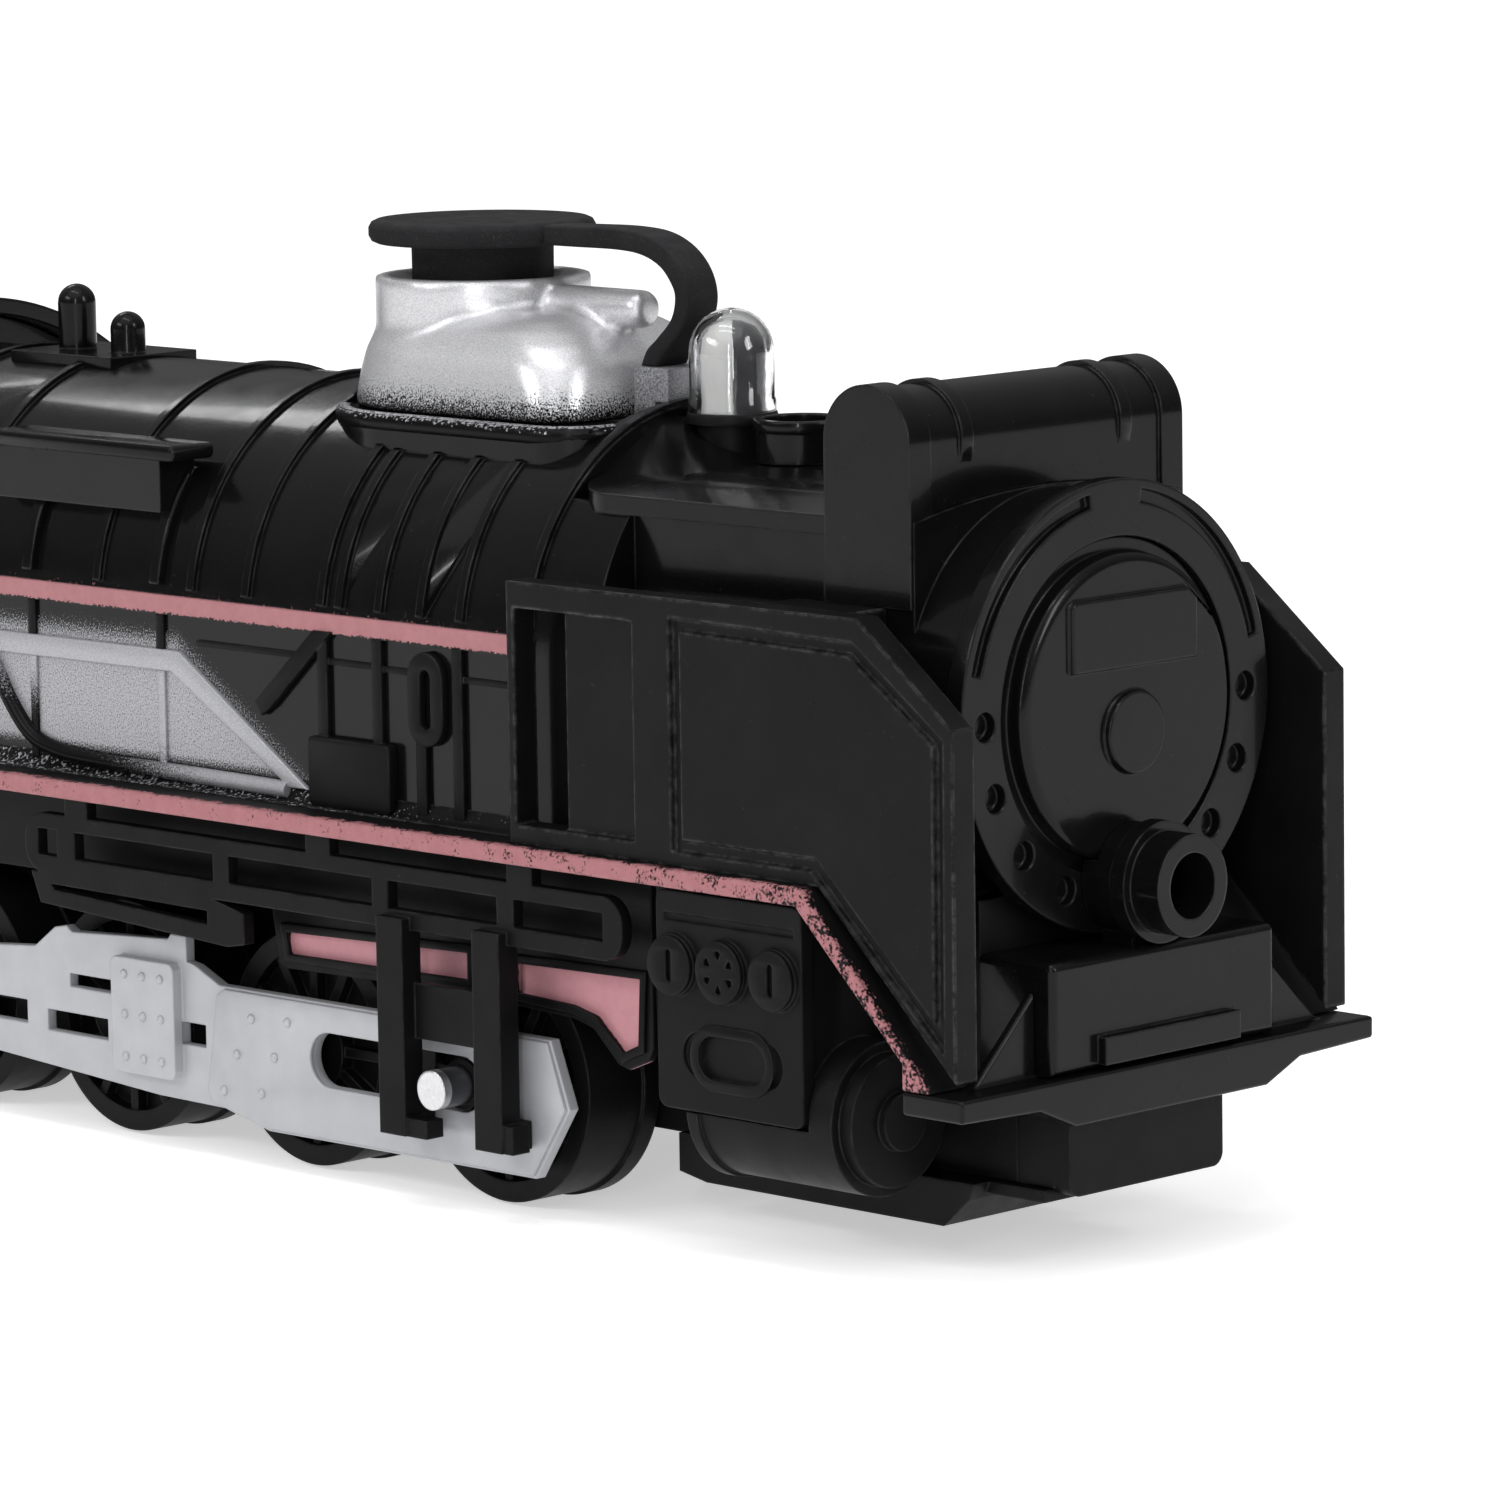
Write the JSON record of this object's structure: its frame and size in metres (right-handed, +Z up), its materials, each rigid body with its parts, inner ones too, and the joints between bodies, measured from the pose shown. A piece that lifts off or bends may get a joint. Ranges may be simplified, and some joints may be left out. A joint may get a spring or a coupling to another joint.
{
  "type": "toy steam locomotive",
  "caption": "Toy steam locomotive with coupled driving wheels, side rods, a water-filled smoke dome with a rubber plug, side deflectors and a cab.",
  "frame": {"origin": "on the floor under the middle of the model's length and width", "axes": "+X forward towards the smokebox door, +Y to the locomotive's left, +Z up"},
  "size_m": [0.21, 0.05, 0.082],
  "materials": {
    "black_plastic": "semi-gloss moulded black",
    "dark_plastic": "satin moulded black",
    "silver_paint": "silver spray paint",
    "rod_grey": "light grey satin",
    "bright_steel": "bright",
    "black_rubber": "matte",
    "clear_plastic": "clear",
    "lamp_white": "white",
    "white_nylon": "satin",
    "motor_can": "satin",
    "cell_wrap": "printed film, plain",
    "board_green": "solder mask",
    "speaker_black": "matte",
    "tank_plastic": "translucent grey"
  },
  "bodies": {
    "locomotive": {"boiler_shell": "black_plastic", "body_screws": "bright_steel", "smokebox_casing": "black_plastic", "smokebox_ring": "black_plastic", "smokebox_door": "black_plastic", "front_lamp": "black_plastic", "chimney": "black_plastic", "feedwater_heater": "black_plastic", "safety_valves": "black_plastic", "dome_base": "black_plastic", "steam_dome": "silver_paint", "lamp_lens": "clear_plastic", "lamp_holder": "lamp_white", "buffer_box": "black_plastic", "front_beam": "black_plastic", "coupler_pocket": "dark_plastic", "motor_case": "motor_can", "chassis_frame": "dark_plastic", "pilot_plate": "dark_plastic", "cab_shell": "black_plastic", "cab_roof": "black_plastic", "battery_box": "dark_plastic", "battery_cells": "cell_wrap", "circuit_board": "board_green", "speaker": "speaker_black", "smoke_tank": "tank_plastic", "smoke_deflector_right": "black_plastic", "smoke_deflector_left": "black_plastic", "running_board_right": "black_plastic", "running_board_left": "black_plastic", "frame_valance_right": "dark_plastic", "frame_valance_left": "dark_plastic", "cylinder_casting_right": "dark_plastic", "cylinder_casting_left": "dark_plastic", "valve_cover_right": "dark_plastic", "valve_cover_left": "dark_plastic", "valve_gear_guide_right": "dark_plastic", "valve_gear_guide_left": "dark_plastic"},
    "front_axle": {"axle_front": "bright_steel", "wheels_front": "dark_plastic", "crank_pins_front": "bright_steel"},
    "second_axle": {"axle_second": "bright_steel", "wheels_second": "dark_plastic"},
    "third_axle": {"axle_third": "bright_steel", "wheels_third": "dark_plastic", "axle_gear": "white_nylon"},
    "rear_axle": {"axle_rear": "bright_steel", "wheels_rear": "dark_plastic", "crank_pins_rear": "bright_steel"},
    "right_rod": {"side_rod_right": "rod_grey"},
    "left_rod": {"side_rod_left": "rod_grey"},
    "idler": {"idler_gear": "white_nylon"},
    "rotor": {"motor_pinion": "white_nylon"},
    "plug": {"filler_plug": "black_rubber", "plug_strap": "black_rubber"},
    "back_door": {"battery_door": "black_plastic"},
    "switch": {"power_switch": "dark_plastic"},
    "hook": {"rear_hook": "dark_plastic"},
    "truck": {"trailing_truck": "dark_plastic"},
    "truck_wheels": {"trailing_wheels": "dark_plastic"}
  },
  "joints": [
    {"name": "rear_axle_spin", "type": "hinge", "parent": "locomotive", "child": "rear_axle", "pos_m": [-0.03, 0, 0.0107], "axis": [0, 1, 0], "continuous": true},
    {"name": "front_axle_spin", "type": "hinge", "parent": "locomotive", "child": "front_axle", "pos_m": [0.0429, 0, 0.0107], "axis": [0, 1, 0], "continuous": true},
    {"name": "second_axle_spin", "type": "hinge", "parent": "locomotive", "child": "second_axle", "pos_m": [0.0186, 0, 0.0107], "axis": [0, 1, 0], "continuous": true},
    {"name": "third_axle_spin", "type": "hinge", "parent": "locomotive", "child": "third_axle", "pos_m": [-0.0057, 0, 0.0107], "axis": [0, 1, 0], "continuous": true},
    {"name": "right_rod_swing", "type": "hinge", "parent": "rear_axle", "child": "right_rod", "pos_m": [-0.0316, -0.0205, 0.0107], "axis": [0, 1, 0], "continuous": true},
    {"name": "left_rod_swing", "type": "hinge", "parent": "rear_axle", "child": "left_rod", "pos_m": [-0.0284, 0.0205, 0.0107], "axis": [0, 1, 0], "continuous": true},
    {"name": "idler_spin", "type": "hinge", "parent": "locomotive", "child": "idler", "pos_m": [-0.0057, 0, 0.0227], "axis": [0, 1, 0], "continuous": true},
    {"name": "rotor_spin", "type": "hinge", "parent": "locomotive", "child": "rotor", "pos_m": [-0.0057, 0, 0.0355], "axis": [0, 1, 0], "continuous": true},
    {"name": "plug_lift", "type": "slide", "parent": "locomotive", "child": "plug", "axis": [0, 0, 1], "range_m": [-0.0023, 0.008], "deforming": ["plug_strap"]},
    {"name": "back_door_swing", "type": "hinge", "parent": "locomotive", "child": "back_door", "pos_m": [-0.088, 0.0152, 0.0428], "axis": [0, 0, 1], "range_deg": [-110, 0]},
    {"name": "power_switch_slide", "type": "slide", "parent": "locomotive", "child": "switch", "axis": [1, 0, 0], "range_m": [0, 0.0038]},
    {"name": "rear_hook_swing", "type": "hinge", "parent": "locomotive", "child": "hook", "pos_m": [-0.095, 0, 0.0152], "axis": [0, 0, 1], "range_deg": [-25, 25]},
    {"name": "trailing_truck_swivel", "type": "hinge", "parent": "locomotive", "child": "truck", "pos_m": [-0.046, 0, 0.0103], "axis": [0, 0, 1], "range_deg": [-8, 8]},
    {"name": "trailing_wheels_spin", "type": "hinge", "parent": "truck", "child": "truck_wheels", "pos_m": [-0.068, 0, 0.0055], "axis": [0, 1, 0], "continuous": true}
  ],
  "couplings": [
    {"joint": "front_axle_spin", "follows": "rear_axle_spin", "ratio": 1},
    {"joint": "second_axle_spin", "follows": "rear_axle_spin", "ratio": 1},
    {"joint": "third_axle_spin", "follows": "rear_axle_spin", "ratio": 1},
    {"joint": "right_rod_swing", "follows": "rear_axle_spin", "ratio": -1},
    {"joint": "left_rod_swing", "follows": "rear_axle_spin", "ratio": -1},
    {"joint": "idler_spin", "follows": "rear_axle_spin", "ratio": -2},
    {"joint": "rotor_spin", "follows": "rear_axle_spin", "ratio": 6}
  ]
}
